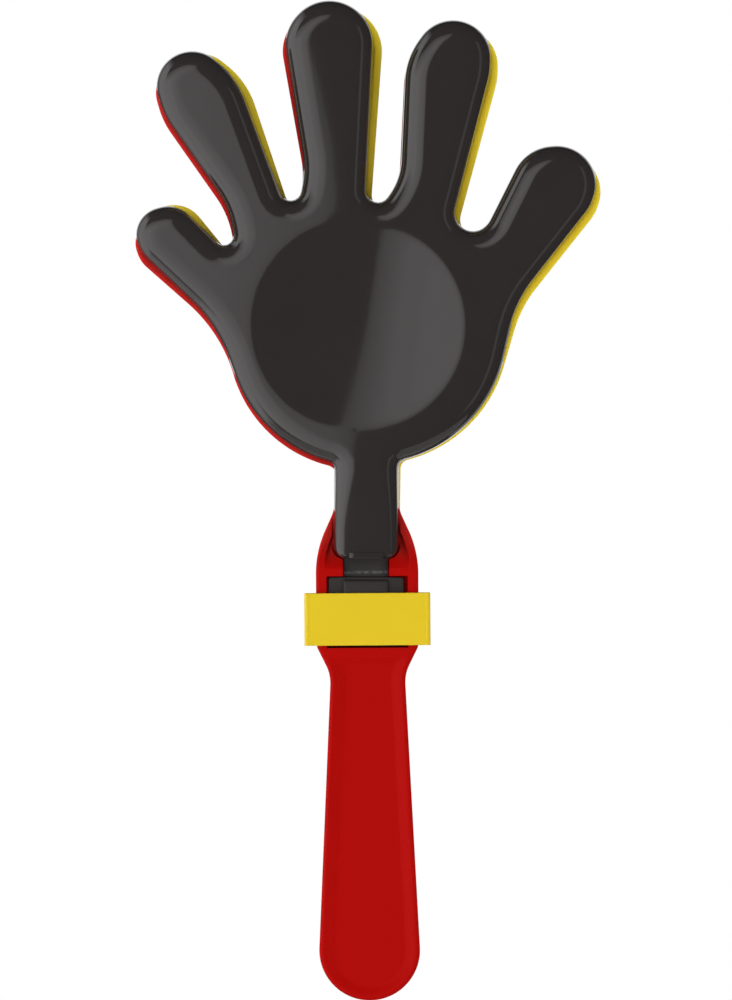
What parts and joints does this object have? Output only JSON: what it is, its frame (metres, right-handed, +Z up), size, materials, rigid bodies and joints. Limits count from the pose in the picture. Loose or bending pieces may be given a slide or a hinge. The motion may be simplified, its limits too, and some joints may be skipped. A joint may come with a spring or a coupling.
{
  "type": "hand clapper",
  "caption": "Plastic hand-shaped clapper: a flat centre hand on a grip, with a hollow hand on a thin hinge at each face that swings and claps against it.",
  "frame": {"origin": "middle of the grip, on the handle's middle plane", "axes": "+Z up the handle to the fingertips, -Y to the front where the black hand is, +X to the right seen from the front"},
  "size_m": [0.1304, 0.0188, 0.2803],
  "materials": {
    "red_plastic": "glossy injection-moulded red plastic",
    "yellow_plastic": "glossy injection-moulded yellow plastic",
    "black_plastic": "glossy injection-moulded black plastic"
  },
  "bodies": {
    "handle": {"handle": "red_plastic", "collar": "yellow_plastic", "front_hinge": "black_plastic", "front_foot": "black_plastic", "back_hinge": "yellow_plastic", "back_foot": "yellow_plastic"},
    "front_hand": {"front_hand": "black_plastic"},
    "back_hand": {"back_hand": "yellow_plastic"}
  },
  "joints": [
    {"name": "front_hand_swing", "type": "hinge", "parent": "handle", "child": "front_hand", "pos_m": [-0.00027, -0.0017, 0.07205], "axis": [0.9999, 0, -0.0105], "range_deg": [0, 60], "stiffness_Nm_per_rad": 0.05, "deforming": ["front_hinge"]},
    {"name": "back_hand_swing", "type": "hinge", "parent": "handle", "child": "back_hand", "pos_m": [-0.0001, 0.0017, 0.07165], "axis": [-0.9997, 0, 0.0244], "range_deg": [0, 60], "stiffness_Nm_per_rad": 0.05, "deforming": ["back_hinge"]}
  ]
}
